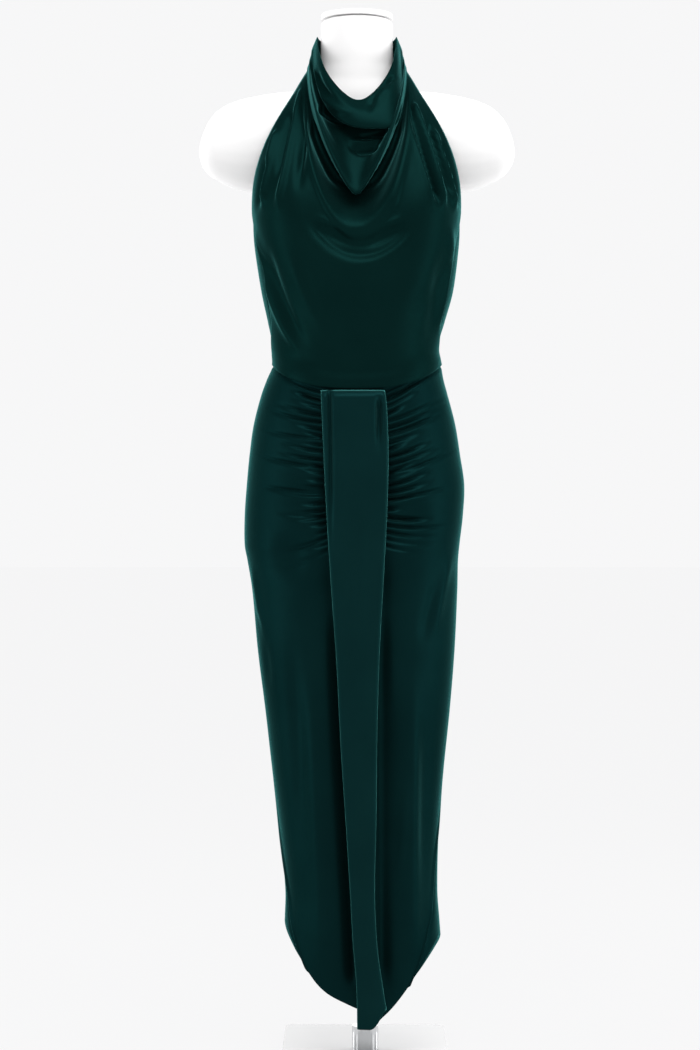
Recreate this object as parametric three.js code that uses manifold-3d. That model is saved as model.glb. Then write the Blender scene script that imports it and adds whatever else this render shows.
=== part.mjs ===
// A long halter dress in stretch jersey, with a cowl front, a ruched skirt, a hanging front drape
// and a pointed hem, on a plain armless display form that stands on a pole and a base plate.
// Sizes are in millimetres. +Z is up, the dress faces -Y, and the pole stands on the origin.
import * as THREE from "three";
import Module from "manifold-3d";
import { mergeVertices } from "three/addons/utils/BufferGeometryUtils.js";

const wasm = await Module();
wasm.setup();

// Driving sizes
const clothThickness = 1.6;
const seamGap = 0.4;
const weldDistance = 1e-3; // points closer than this are one point
const roundSides = { button: 20, pole: 32, plate: 36 }; // sides of each turned shape
const formShiftX = -12; // the form sits a little to the left of its pole
const basePlate = { width: 240, depth: 340, height: 8, corner: 14, cornerSteps: 6 };
const baseSocket = { radius: 19, height: 34 };
const pole = { radius: 10, top: 726 };
const formPlate = { radius: 42, height: 7 };
const formBottom = 733.4;
const neckCap = { bottom: 1501, height: 7, radiusX: 52, radiusY: 50, y: 3 };
const sideY = 8; // the side line of the figure, behind the pole's axis
const frontRoundness = 2.3;
const backRoundness = 2.05;
// The waist seam dips at the front and, a little, at the back
const waistSeam = { sideZ: 1001, frontDip: 42, backDip: -5, shape: 1.6 };
// Columns and rows of each cloth piece's grid
const grids = {
  bodiceFront: [18, 36],
  bodiceBack: [18, 8],
  neckBand: [9, 5],
  skirtFront: [8, 32],
  skirtBack: [14, 32],
  drape: [12, 20],
};

const dressGreen = new THREE.MeshStandardMaterial({ color: 0x0c3a35, roughness: 0.5, metalness: 0 });
const buttonGreen = new THREE.MeshStandardMaterial({ color: 0x0d403a, roughness: 0.45, metalness: 0 });
const formWhite = new THREE.MeshStandardMaterial({ color: 0xefedea, roughness: 0.55, metalness: 0 });
const poleSteel = new THREE.MeshStandardMaterial({ color: 0xd0d2d4, roughness: 0.15, metalness: 1 });
const plateGrey = new THREE.MeshStandardMaterial({ color: 0xdcdcdc, roughness: 0.25, metalness: 0.3 });

// The dress round the figure: how far the cloth stands from the middle at each height
const figureColumns = ["z", "left", "right", "front", "back"];
const figureSections = [
  [1260, 153, 151, 121, 109],
  [1217, 153, 151, 123, 107],
  [1174, 149, 148, 123, 102],
  [1108, 139, 140, 121, 90],
  [1060, 129, 127, 117, 80],
  [1022, 122, 117, 113, 76],
  [1000, 122, 122, 110, 77],
  [978, 131, 126, 108, 84],
  [956, 139, 132, 107, 92],
  [913, 150, 143, 108, 108],
  [869, 156, 150, 111, 119],
  [826, 160, 156, 112, 123],
  [782, 163, 154, 112, 120],
  [739, 163, 149, 110, 113],
  [717, 159, 147, 108, 108],
  [674, 152, 146, 104, 101],
  [587, 144, 142, 98, 94],
  [500, 133, 135, 94, 90],
  [413, 123, 126, 92, 87],
  [326, 112, 119, 90, 85],
  [239, 104, 117, 89, 84],
  [195, 105, 120, 89, 86],
  [150, 106, 123, 89, 88],
  [40, 106, 124, 90, 88],
];

// Where the bodice's side seam lies, in degrees round from the front
const sideSeamColumns = ["z", "angle"];
const sideSeamAngles = [
  [1217, 77],
  [1174, 71],
  [1130, 67],
  [1070, 71],
  [1030, 80],
  [950, 86],
];

// The cowl and bodice front: a row for each line of cloth that hangs from side to side.
// droop bends a line from a V (1) to a U (2), wrap says how late it turns back to its side end, and
// lean moves its lowest point to the right.
const cowlColumns = ["zMid", "yMid", "zSide", "ySide", "half", "droop", "wrap", "lean"];
const cowlRows = [
  [1370, -86, 1479, 12, 58, 1.38, 2.2, 2], // neckline edge
  [1349, -103, 1472, 12, 61, 1.8, 2.5, 12], // collar swag
  [1326, -106, 1465, 12, 64, 2.7, 2.8, 26], // its lip
  [1340, -80, 1459, 11, 66, 2.3, 2.6, 26], // tucked in behind it
  [1312, -85, 1452, 10, 67, 1.9, 3.2, 10],
  [1268, -105, 1445, 9, 69, 1.15, 3.4, 0], // pointed swag
  [1232, -118, 1439, 8, 70, 1.1, 3.6, -1], // its lip
  [1246, -86, 1433, 6, 72, 1.35, 3.6, -1], // tucked in behind it
  [1216, -96, 1427, 4, 73, 1.75, 3.8, 2],
  [1187, -128, 1420, 1, 77, 1.7, 4.2, -3], // round swag
  [1160, -123, 1398, -16, 88, 1.55, 4.6, 3], // armhole edges from here on
  [1132, -126, 1342, -52, 115, 1.6, 4.0, 0],
  [1104, -125, 1297, -62, 133, 1.65, 3.6, 0],
  [1077, -122, 1255, -46, 147, 1.7, 3.2, 0],
  [1052, -119, 1215, -24, 150, 1.75, 2.8, 0], // underarm
  [1028, -116, 1166, -40, 142, 1.8, 2.4, 0], // side seams from here on
  [1004, -113, 1108, -42, 131, 1.8, 2.2, 0],
  [981, -110, 1046, -28, 120, 1.8, 2.1, 0],
  [959, -107, 1001, -4, 121, 1.8, 2.0, 0], // waist seam
];
const swagRounding = 0.06; // how round the lowest point of each line is
const lastCowlRow = cowlRows.length - 1;
const underarmRow = 14;
const ringRow = 15.5; // from this row down the bodice follows the figure's sections
const fittingFrom = 10; // the row where the cloth starts to draw in to the figure
const bodiceSideGap = 0.12; // in degrees
const middleSeam = { top: -2, hem: 11 }; // where the skirt's middle seam runs, in degrees from the front

// How a crease swells and dies out along its length
const creaseFade = { least: 0.25, start: 0.12, span: 0.85 };
const creaseColumns = ["x0", "z0", "x1", "z1", "width", "height", "bow"];
// Creases of the bodice front, in the front view: ridges are positive, troughs negative
const bodiceCreaseRows = [8.5, 11]; // they start between these rows of the cowl
const bodiceCreaseEnds = [1, 0.9]; // and die out between these shares of its half width
const bodiceCreases = [
  [-80, 1398, -112, 1222, 11, 3.4, 4],
  [-100, 1376, -132, 1236, 10, 2.6, 4],
  [-88, 1352, -122, 1230, 9, -2.6, 4],
  [78, 1390, 116, 1226, 11, 3.6, -5],
  [92, 1366, 122, 1238, 9, -3.2, -5],
  [102, 1366, 142, 1228, 10, 2.8, -5],
  [-140, 1176, -84, 1024, 12, 2.2, -9],
  [126, 1200, 114, 1040, 12, 2.0, 5],
];

// Ruching of the skirt: from the drape's edge (x0) to where it dies out on the hip (x1)
const leftRuches = [
  [-46, 938, -112, 972, 7.0, 2.6, -5],
  [-46, 914, -104, 934, 7.0, 2.6, -4],
  [-45, 889, -136, 908, 7.5, 3.0, -5],
  [-44, 866, -100, 876, 7.0, 2.8, -3],
  [-42, 842, -146, 868, 8.0, 3.2, -6],
  [-40, 818, -104, 822, 7.5, 2.8, -2],
  [-38, 792, -128, 806, 8.0, 3.0, -3],
  [-36, 764, -96, 752, 8.0, 2.4, 3],
];
const rightRuches = [
  [40, 936, 104, 976, 7.0, 2.6, -5],
  [40, 911, 96, 934, 7.0, 2.6, -4],
  [41, 886, 118, 918, 7.5, 3.0, -5],
  [41, 860, 92, 874, 7.0, 2.6, -3],
  [41, 836, 140, 868, 8.0, 3.2, -6],
  [40, 812, 98, 822, 7.5, 2.8, -3],
  [39, 786, 126, 804, 8.0, 3.0, -4],
  [38, 758, 94, 750, 8.0, 2.4, 3],
];
// Long soft folds of the lower skirt, beside the drape and at its sides
const skirtFolds = [
  [-46, 650, -16, 140, 15, -9.0, 0],
  [-70, 560, -58, 150, 20, 3.0, 4],
  [53, 660, 50, 110, 16, -8.0, 0],
  [86, 560, 80, 170, 20, 3.0, -4],
];
const foldsFrom = 0.35; // folds are full where the cloth faces forward by this share
const rucheSeam = 0.03; // the skirt lies flat along the waist seam, down to this share of its length

// Hem height round the skirt, in degrees from the front: the left half, then the right
const hemColumns = ["angle", "z"];
const hemHeights = [
  [-180, 192],
  [-130, 194],
  [-90, 196],
  [-75, 184],
  [-60, 168],
  [-45, 146],
  [-30, 117],
  [-20, 104],
  [0, 84],
  [10, 66],
  [15, 73],
  [22, 87],
  [33, 112],
  [43, 135],
  [52, 152],
  [68, 164],
  [90, 173],
  [130, 186],
  [180, 192],
];

// Where the skirt's side seams run, in degrees from the front: straight down from the waist, then
// curving forward to the hem, so that the back panel shows beside the front one
const skirtSeamColumns = ["down", "angle"];
const leftSkirtSeam = [
  [0, 90],
  [0.8, 90],
  [0.87, 84],
  [0.932, 71],
  [0.967, 62],
  [0.99, 50],
  [1, 42],
];
const rightSkirtSeam = [
  [0, 90],
  [0.7, 90],
  [0.78, 87],
  [0.854, 73],
  [0.934, 63],
  [0.959, 54],
  [0.976, 47],
  [0.993, 39],
  [1, 35],
];
const skirtSeamGap = { straight: 0.13, curved: 0.42, from: 0.85 }; // half the gap, in degrees
// Rows of the skirt lie close together over the ruching and near the hem: [row's share, way down]
const skirtRows = [
  [0, 0],
  [0.47, 0.28],
  [0.69, 0.8],
  [1, 1],
];

// The drape: its left and right edges from the waist seam down
const drapeColumns = ["z", "left", "right"];
const drapeEdges = [
  [958, -51, 39],
  [930, -50, 42],
  [866, -47, 44],
  [785, -43, 42],
  [689, -37, 37],
  [573, -29, 31],
  [455, -23, 28],
  [348, -16, 27],
  [253, -10, 25],
  [180, -6, 28],
  [118, -1, 36],
  [60, 0, 46],
];
const drapeHem = { z: 60, tipZ: 57, tipLeft: 4, tipRight: 19, rightZ: 88, leftRise: 8 };
// Each long edge turns under in a round roll, from this share of the half width; it opens out at
// the top, where the drape lies flat in the waist seam
const drapeRoll = { standOff: 11, from: 1 / 3, topDepth: 0.8, topTurn: 30, turn: 180, bow: 2.4 };
const drapeOpens = { from: 0.004, to: 0.04 }; // how far down from the seam it does so
const drapeTop = 1; // its top edge lies this much under the skirt's

// The back of the bodice: the height of its low scooped edge round the back
const backEdge = { underarmZ: 1213, middleZ: 1078, scoop: 2.4 };

// The neck band, from the ends of the cowl round to the back of the neck
const neckBand = { lastRow: 9, back: 67, backTop: 1467, backBottom: 1435, lapDegrees: 13 };
const bandLap = { lift: 2.15, from: 20, to: 60 }; // the right band rises over the left, in degrees
const bandStart = { top: 1.2, bottom: 1.75 }; // the gap between the cowl's ends and the band
const button = { radius: 5.5, footRadius: 4.7, rim: 1.2, height: 3.6, spacing: 15, domeSteps: 5 };

// The bare form: half width, front and back at each height
const formColumns = ["z", "half", "front", "back"];
const formSections = [
  [733, 141, -84, 102],
  [742, 145, -88, 107],
  [782, 150, -92, 117],
  [826, 152, -92, 119],
  [869, 146, -91, 114],
  [913, 139, -90, 103],
  [956, 128, -91, 87],
  [1000, 115, -95, 73],
  [1035, 111, -103, 72],
  [1070, 120, -106, 77],
  [1108, 129, -107, 84],
  [1160, 136, -98, 94],
  [1217, 141, -80, 101],
  [1262, 141, -66, 102],
  [1300, 138, -58, 100],
  [1335, 130, -51, 95],
  [1362, 114, -46, 88],
  [1384, 90, -43, 80],
  [1402, 67, -38, 72],
  [1424, 56, -36, 65],
  [1450, 53, -39, 60],
  [1500, 52, -47, 53],
];
const bust = { x: 78, z: 1212, radius: 58, height: 8, rows: [8, 11], formHeight: 34, formRadius: 50 };
const neckRise = { from: 1380, to: 1440 }; // between these heights the chest narrows to the neck
const formGrid = { around: 36, levels: 34, shoulderAround: 24, shoulderLevels: 12, crowding: 1.5 };
// The rounded shoulder ends, along X
const shoulderColumns = ["x", "zMid", "halfHeight", "halfDepth"];
const shoulderSections = [
  [40, 1345, 55, 54],
  [100, 1330, 69, 57],
  [140, 1322, 72, 55],
  [171, 1321, 66, 51],
  [195, 1321, 56, 45],
  [212, 1318, 44, 37],
  [222, 1314, 30, 27],
  [228, 1311, 15, 14],
  [230, 1310, 5, 5],
];
const shoulderY = 14;

const degrees = Math.PI / 180;
const clamp01 = (t) => Math.min(1, Math.max(0, t));
const lerp = (a, b, t) => a + (b - a) * t;
const smoothStep = (a, b, t) => {
  const k = clamp01((t - a) / (b - a));
  return k * k * (3 - 2 * k);
};

// A smooth curve through a table's column, read at one value of its key
function curveThrough(keys, values) {
  const up = keys[0] < keys[keys.length - 1];
  const xs = up ? keys : [...keys].reverse();
  const ys = up ? values : [...values].reverse();
  const slope = xs.map((x, i) => {
    const a = Math.max(0, i - 1);
    const b = Math.min(xs.length - 1, i + 1);
    return (ys[b] - ys[a]) / (xs[b] - xs[a]);
  });
  return (at) => {
    const x = Math.min(xs[xs.length - 1], Math.max(xs[0], at));
    let i = 0;
    while (i < xs.length - 2 && x > xs[i + 1]) i += 1;
    const h = xs[i + 1] - xs[i];
    const t = (x - xs[i]) / h;
    const t2 = t * t;
    const t3 = t2 * t;
    return (
      (2 * t3 - 3 * t2 + 1) * ys[i] +
      (t3 - 2 * t2 + t) * h * slope[i] +
      (3 * t2 - 2 * t3) * ys[i + 1] +
      (t3 - t2) * h * slope[i + 1]
    );
  };
}

// One curve for each column of a table, over its key column, or over the row number
function curvesOf(columns, rows, key) {
  const keys = rows.map((row, i) => (key ? row[columns.indexOf(key)] : i));
  const curves = {};
  columns.forEach((name, c) => {
    curves[name] = curveThrough(keys, rows.map((row) => row[c]));
  });
  return curves;
}

const figure = curvesOf(figureColumns, figureSections, "z");
const sideSeam = curvesOf(sideSeamColumns, sideSeamAngles, "z");
const cowl = curvesOf(cowlColumns, cowlRows);
const hem = curvesOf(hemColumns, hemHeights, "angle");
const leftSeam = curvesOf(skirtSeamColumns, leftSkirtSeam, "down").angle;
const rightSeam = curvesOf(skirtSeamColumns, rightSkirtSeam, "down").angle;
const drape = curvesOf(drapeColumns, drapeEdges, "z");
const formBody = curvesOf(formColumns, formSections, "z");
const shoulder = curvesOf(shoulderColumns, shoulderSections, "x");

// A point of a rounded ring: angle 0 is the front, 90 the right side and 180 the back
function ringPoint(angle, left, right, front, back, z) {
  const s = Math.sin(angle * degrees);
  const c = Math.cos(angle * degrees);
  const power = 2 / (c > 0 ? frontRoundness : backRoundness);
  const x = Math.sign(s) * Math.abs(s) ** power * (s < 0 ? left : right);
  const reach = c > 0 ? -front - sideY : back - sideY;
  const y = sideY + Math.abs(c) ** power * reach;
  return new THREE.Vector3(x, y, z);
}

const figurePoint = (angle, z) =>
  ringPoint(angle, figure.left(z), figure.right(z), figure.front(z), figure.back(z), z);

// How far creases lift (or sink) the cloth at a place of the front view
function creaseHeight(rows, x, z) {
  let height = 0;
  for (const row of rows) {
    const [x0, z0, x1, z1, width, top, bow] = creaseColumns.map((name, i) => row[i]);
    const length = Math.hypot(x1 - x0, z1 - z0);
    const ux = (x1 - x0) / length;
    const uz = (z1 - z0) / length;
    const run = ((x - x0) * ux + (z - z0) * uz) / length;
    const along = clamp01(run);
    const past = Math.abs(run - along) * length;
    const across = (z - z0) * ux - (x - x0) * uz - bow * 4 * along * (1 - along);
    const reach = Math.hypot(across, past) / width;
    const swell = Math.sin(Math.PI * Math.min(1, along * creaseFade.span + creaseFade.start));
    const fade = lerp(creaseFade.least, 1, swell);
    height += top * fade * Math.exp(-reach * reach);
  }
  return height;
}

// The waist seam's height round the figure
const waistSeamZ = (angle) => {
  const c = Math.cos(angle * degrees);
  const dip = c > 0 ? waistSeam.frontDip * c ** waistSeam.shape : waistSeam.backDip * -c;
  return waistSeam.sideZ - dip;
};

// A closed wall of cloth on a surface: across and down run from 0 to 1. It grows inwards: at its
// edges square to the surface, so that neighbours meet evenly, and elsewhere along the mean normal
// of the faces round each point, so that sharp folds stay clear of themselves.
function clothWall(surface, [columns, rows]) {
  const step = 1e-3;
  const outer = [];
  for (let j = 0; j <= rows; j += 1) {
    for (let i = 0; i <= columns; i += 1) outer.push(surface(i / columns, j / rows));
  }
  const between = (from, to) => to.clone().sub(from);
  const onGrid = (i, j) => outer[j * (columns + 1) + i];
  const edgeNormal = (u, v) => {
    const du = between(surface(Math.max(0, u - step), v), surface(Math.min(1, u + step), v));
    const dv = between(surface(u, Math.max(0, v - step)), surface(u, Math.min(1, v + step)));
    return du.cross(dv);
  };
  const faceNormal = (i, j) => {
    const normal = new THREE.Vector3();
    for (const left of [i - 1, i]) {
      const du = between(onGrid(left, j), onGrid(left + 1, j));
      for (const top of [j - 1, j]) {
        normal.add(du.clone().cross(between(onGrid(i, top), onGrid(i, top + 1))).normalize());
      }
    }
    return normal;
  };
  const inner = outer.map((point, n) => {
    const i = n % (columns + 1);
    const j = Math.floor(n / (columns + 1));
    const onEdge = i === 0 || i === columns || j === 0 || j === rows;
    const normal = onEdge ? edgeNormal(i / columns, j / rows) : faceNormal(i, j);
    return point.clone().addScaledVector(normal.normalize(), clothThickness);
  });
  const points = [...outer, ...inner];
  const at = (layer, i, j) => layer * outer.length + j * (columns + 1) + i;
  const faces = [];
  const quad = (a, b, c, d) => faces.push(a, b, c, a, c, d);
  for (let j = 0; j < rows; j += 1) {
    for (let i = 0; i < columns; i += 1) {
      quad(at(0, i, j), at(0, i, j + 1), at(0, i + 1, j + 1), at(0, i + 1, j));
      quad(at(1, i, j), at(1, i + 1, j), at(1, i + 1, j + 1), at(1, i, j + 1));
    }
  }
  for (let i = 0; i < columns; i += 1) {
    quad(at(0, i, 0), at(0, i + 1, 0), at(1, i + 1, 0), at(1, i, 0));
    quad(at(0, i, rows), at(1, i, rows), at(1, i + 1, rows), at(0, i + 1, rows));
  }
  for (let j = 0; j < rows; j += 1) {
    quad(at(0, 0, j), at(1, 0, j), at(1, 0, j + 1), at(0, 0, j + 1));
    quad(at(0, columns, j), at(0, columns, j + 1), at(1, columns, j + 1), at(1, columns, j));
  }
  return closedGeometry(points, faces);
}

// A geometry from points and faces, turned so that its faces look outwards
function closedGeometry(points, faces) {
  let volume = 0;
  for (let f = 0; f < faces.length; f += 3) {
    const [a, b, c] = [points[faces[f]], points[faces[f + 1]], points[faces[f + 2]]];
    volume += a.dot(b.clone().cross(c));
  }
  if (volume < 0) {
    for (let f = 0; f < faces.length; f += 3) [faces[f + 1], faces[f + 2]] = [faces[f + 2], faces[f + 1]];
  }
  const geometry = new THREE.BufferGeometry();
  geometry.setAttribute("position", new THREE.Float32BufferAttribute(points.flatMap((p) => p.toArray()), 3));
  geometry.setIndex(faces);
  geometry.computeVertexNormals();
  return geometry;
}

// A solid through closed rings of points, with flat ends
function loftRings(rings) {
  const size = rings[0].length;
  const points = rings.flat();
  const faces = [];
  for (let r = 0; r < rings.length - 1; r += 1) {
    for (let i = 0; i < size; i += 1) {
      const k = (i + 1) % size;
      faces.push(r * size + i, r * size + k, (r + 1) * size + k);
      faces.push(r * size + i, (r + 1) * size + k, (r + 1) * size + i);
    }
  }
  for (const [r, turn] of [[0, true], [rings.length - 1, false]]) {
    const middle = rings[r].reduce((sum, p) => sum.add(p), new THREE.Vector3()).divideScalar(size);
    points.push(middle);
    for (let i = 0; i < size; i += 1) {
      const [a, b] = [r * size + i, r * size + ((i + 1) % size)];
      faces.push(points.length - 1, turn ? b : a, turn ? a : b);
    }
  }
  return closedGeometry(points, faces);
}

// A three.js geometry as a solid that can be joined, and back
function solidFrom(geometry) {
  const bare = geometry.clone();
  bare.deleteAttribute("normal");
  bare.deleteAttribute("uv");
  const merged = mergeVertices(bare, weldDistance);
  return new wasm.Manifold(
    new wasm.Mesh({
      numProp: 3,
      vertProperties: new Float32Array(merged.attributes.position.array),
      triVerts: new Uint32Array(merged.index.array),
    }),
  );
}

function geometryFrom(solid) {
  const mesh = solid.getMesh();
  const geometry = new THREE.BufferGeometry();
  geometry.setAttribute("position", new THREE.Float32BufferAttribute(mesh.vertProperties, 3));
  geometry.setIndex(Array.from(mesh.triVerts));
  geometry.computeVertexNormals();
  return geometry;
}

// The height of the cloth between a cowl line's lowest point and its side ends
function cowlZ(row, s) {
  const round = (size) => Math.hypot(size, swagRounding) - swagRounding;
  const hang = round(s) / round(1);
  return lerp(cowl.zMid(row), cowl.zSide(row), hang ** cowl.droop(row));
}

// The cowl and bodice front: across runs from the left side to the right, down from the neckline
function bodiceFrontPoint(across, down) {
  const s = across * 2 - 1;
  const size = Math.abs(s);
  const row = down * lastCowlRow;
  const x = Math.sin((s * Math.PI) / 2) * cowl.half(row) + cowl.lean(row) * (1 - s * s) ** 2;
  const y = lerp(cowl.yMid(row), cowl.ySide(row), size ** cowl.wrap(row));
  const hanging = new THREE.Vector3(x, y, cowlZ(row, s));
  const toSeam = clamp01((row - ringRow) / (lastCowlRow - ringRow));
  const angle = s * sideSeam.angle(lerp(cowl.zSide(Math.min(row, ringRow)), waistSeam.sideZ, toSeam));
  const fittedZ = lerp(cowlZ(Math.min(row, ringRow), s), waistSeamZ(angle) + seamGap, toSeam);
  const point = hanging.lerp(figurePoint(angle, fittedZ), smoothStep(fittingFrom, ringRow, row));
  const open = smoothStep(...bodiceCreaseRows, row) * smoothStep(...bodiceCreaseEnds, size);
  point.y -= creaseHeight(bodiceCreases, point.x, point.z) * open;
  for (const side of [-1, 1]) {
    const away = Math.hypot(point.x - side * bust.x, point.z - bust.z) / bust.radius;
    point.y -= bust.height * Math.exp(-away * away) * smoothStep(...bust.rows, row);
  }
  return point;
}

// The low back of the bodice, from one side seam round the back to the other. Its rows meet those
// of the front at the side seams.
function bodiceBackPoint(across, down) {
  const swing = across * 2 - 1;
  const row = lerp(underarmRow, lastCowlRow, down);
  const sideZ = bodiceFrontPoint(1, row / lastCowlRow).z;
  const lowSideZ = bodiceFrontPoint(1, 1).z;
  const share = clamp01((backEdge.underarmZ - sideZ) / (backEdge.underarmZ - lowSideZ));
  const lowAngle = sideSeam.angle(lowSideZ) + bodiceSideGap;
  const low = waistSeamZ(180 + swing * (180 - lowAngle)) + seamGap;
  const top = lerp(backEdge.middleZ, backEdge.underarmZ, Math.abs(swing) ** backEdge.scoop);
  const z = lerp(top, low, share);
  return figurePoint(180 + swing * (180 - sideSeam.angle(z) - bodiceSideGap), z);
}

// The skirt between two angles, from the waist seam down to the hem
function skirtPoint(angle, down) {
  const top = waistSeamZ(angle) - seamGap;
  const z = lerp(top, hem.z(angle), down);
  const point = figurePoint(angle, z);
  if (Math.abs(angle) < 90) {
    const ruches = angle < 0 ? leftRuches : rightRuches;
    const facing = Math.cos(angle * degrees);
    const lift =
      creaseHeight(ruches, point.x, point.z) +
      creaseHeight(skirtFolds, point.x, point.z) * smoothStep(0, foldsFrom, facing);
    const keepSeam = smoothStep(0, rucheSeam, down);
    const outward = new THREE.Vector3(Math.sin(angle * degrees), -facing, 0);
    point.addScaledVector(outward, lift * keepSeam);
  }
  return point;
}

// The middle seam of the skirt's front runs under the drape, from the waist to the hem
const middleSeamAngle = (down) => lerp(middleSeam.top, middleSeam.hem, down);

// How far down the skirt a row of its grid lies
function skirtRow(t) {
  const k = skirtRows.findIndex(([share]) => share >= t);
  const [[share0, down0], [share1, down1]] = [skirtRows[Math.max(0, k - 1)], skirtRows[Math.max(1, k)]];
  return lerp(down0, down1, (t - share0) / (share1 - share0));
}

const seamGapAngle = (down) =>
  lerp(skirtSeamGap.straight, skirtSeamGap.curved, smoothStep(skirtSeamGap.from, 1, down));

function skirtFront(side) {
  const surface = (across, t) => {
    const down = skirtRow(t);
    const inner = middleSeamAngle(down) + side * skirtSeamGap.straight;
    const outer = side > 0 ? rightSeam(down) - seamGapAngle(down) : seamGapAngle(down) - leftSeam(down);
    return skirtPoint(lerp(inner, outer, side > 0 ? across : 1 - across), down);
  };
  return clothWall(surface, grids.skirtFront);
}

function skirtBack() {
  const surface = (across, t) => {
    const down = skirtRow(t);
    const gap = seamGapAngle(down);
    const angle = lerp(rightSeam(down) + gap, 360 - leftSeam(down) - gap, across);
    return skirtPoint(angle > 180 ? angle - 360 : angle, down);
  };
  return clothWall(surface, grids.skirtBack);
}

// The drape: across is 0 at its left edge and 1 at its right, with both edges rolled under
function drapePoint(across, down) {
  const t = across * 2 - 1;
  const size = Math.abs(t);
  const hemX = lerp(drape.left(drapeHem.z), drape.right(drapeHem.z), across);
  const rightRise = smoothStep(drapeHem.tipRight, drape.right(drapeHem.z), hemX);
  const leftRise = 1 - smoothStep(0, drapeHem.tipLeft, hemX);
  const lowZ = lerp(drapeHem.tipZ, drapeHem.rightZ, rightRise) + drapeHem.leftRise * leftRise;
  const z = lerp(waistSeamZ(0) - seamGap - drapeTop, lowZ, down);
  const middle = (drape.left(z) + drape.right(z)) / 2;
  const half = (drape.right(z) - drape.left(z)) / 2;
  const seated = clothThickness + seamGap;
  const opened = smoothStep(drapeOpens.from, drapeOpens.to, down);
  const depth = lerp(drapeRoll.topDepth, drapeRoll.standOff - seated, opened);
  const turn = lerp(drapeRoll.topTurn, drapeRoll.turn, opened) * degrees;
  const radius = depth / (1 - Math.cos(turn));
  const flatHalf = half - radius * Math.sin(Math.min(turn, Math.PI / 2));
  const rolled = turn * clamp01((size - drapeRoll.from) / (1 - drapeRoll.from));
  const flatShare = Math.min(1, size / drapeRoll.from);
  const x = middle + Math.sign(t) * (flatHalf * flatShare + radius * Math.sin(rolled));
  const bow = drapeRoll.bow * opened * Math.cos((flatShare * Math.PI) / 2);
  const width = x < 0 ? figure.left(z) : figure.right(z);
  const angle = (Math.asin(Math.sign(x) * (Math.abs(x) / width) ** (frontRoundness / 2)) / degrees) || 0;
  const lift =
    creaseHeight(x < 0 ? leftRuches : rightRuches, x, z) +
    creaseHeight(skirtFolds, x, z);
  const standOff = seated + depth - radius * (1 - Math.cos(rolled)) + bow;
  return new THREE.Vector3(x, figurePoint(angle, z).y - standOff - Math.max(0, lift), z);
}

// The neck band on one side: along runs from the cowl's end to past the middle of the back
function neckBandWall(side) {
  const surface = (along, down) => {
    const row = neckBand.lastRow * down;
    const turn = along * (90 + neckBand.lapDegrees);
    const round = smoothStep(0, 1, turn / 90);
    const lift = side > 0 ? bandLap.lift * smoothStep(bandLap.from, bandLap.to, turn) : 0;
    const x = side * Math.cos(turn * degrees) * (cowl.half(row) + lift);
    const startY = cowl.ySide(row) + lerp(bandStart.top, bandStart.bottom, down);
    const y = startY + Math.sin(turn * degrees) * (neckBand.back + lift - startY);
    const backZ = lerp(neckBand.backTop, neckBand.backBottom, down);
    return new THREE.Vector3(x, y, lerp(cowl.zSide(row), backZ, round));
  };
  const wall = side > 0 ? surface : (u, v) => surface(1 - u, v);
  return clothWall(wall, grids.neckBand);
}

function coveredButton() {
  const profile = [new THREE.Vector2(0, 0), new THREE.Vector2(button.footRadius, 0)];
  for (let k = 0; k < button.domeSteps; k += 1) {
    const a = (k / button.domeSteps) * 90 * degrees;
    const rise = button.rim + (button.height - button.rim) * Math.sin(a);
    profile.push(new THREE.Vector2(button.radius * Math.cos(a), rise));
  }
  profile.push(new THREE.Vector2(0, button.height));
  return new THREE.LatheGeometry(profile, roundSides.button);
}

// The form: a smooth closed torso with a neck and rounded shoulder ends
function displayForm() {
  const rings = [];
  for (let k = 0; k <= formGrid.levels; k += 1) {
    const z = lerp(formBottom, neckCap.bottom - seamGap, k / formGrid.levels);
    const ring = [];
    for (let i = 0; i < formGrid.around; i += 1) {
      const angle = (i / formGrid.around) * 360;
      const half = formBody.half(z);
      const s = Math.sin(angle * degrees);
      const c = Math.cos(angle * degrees);
      const rise = smoothStep(neckRise.from, neckRise.to, z);
      const power = 2 / (c > 0 ? lerp(frontRoundness, 2, rise) : lerp(backRoundness, 2, rise));
      const centre = lerp(sideY, (formBody.front(z) + formBody.back(z)) / 2, rise);
      const reach = c > 0 ? formBody.front(z) - centre : formBody.back(z) - centre;
      const x = Math.sign(s) * Math.abs(s) ** power * half;
      let y = centre + Math.abs(c) ** power * reach;
      for (const side of [-1, 1]) {
        const away = Math.hypot(x - side * bust.x, z - bust.z) / bust.formRadius;
        if (c > 0) y -= bust.formHeight * Math.exp(-away * away) * Math.abs(c);
      }
      ring.push(new THREE.Vector3(x, y, z));
    }
    rings.push(ring);
  }
  let solid = solidFrom(loftRings(rings));
  for (const side of [-1, 1]) {
    const capRings = [];
    for (let k = 0; k <= formGrid.shoulderLevels; k += 1) {
      const share = 1 - (1 - k / formGrid.shoulderLevels) ** formGrid.crowding;
      const x = lerp(shoulderSections[0][0], shoulderSections.at(-1)[0], share);
      const ring = [];
      for (let i = 0; i < formGrid.shoulderAround; i += 1) {
        const a = (i / formGrid.shoulderAround) * 2 * Math.PI;
        const y = shoulderY + Math.cos(a) * shoulder.halfDepth(x);
        ring.push(new THREE.Vector3(side * x, y, shoulder.zMid(x) + Math.sin(a) * shoulder.halfHeight(x)));
      }
      capRings.push(ring);
    }
    solid = solid.add(solidFrom(loftRings(capRings)));
  }
  return geometryFrom(solid);
}

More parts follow.
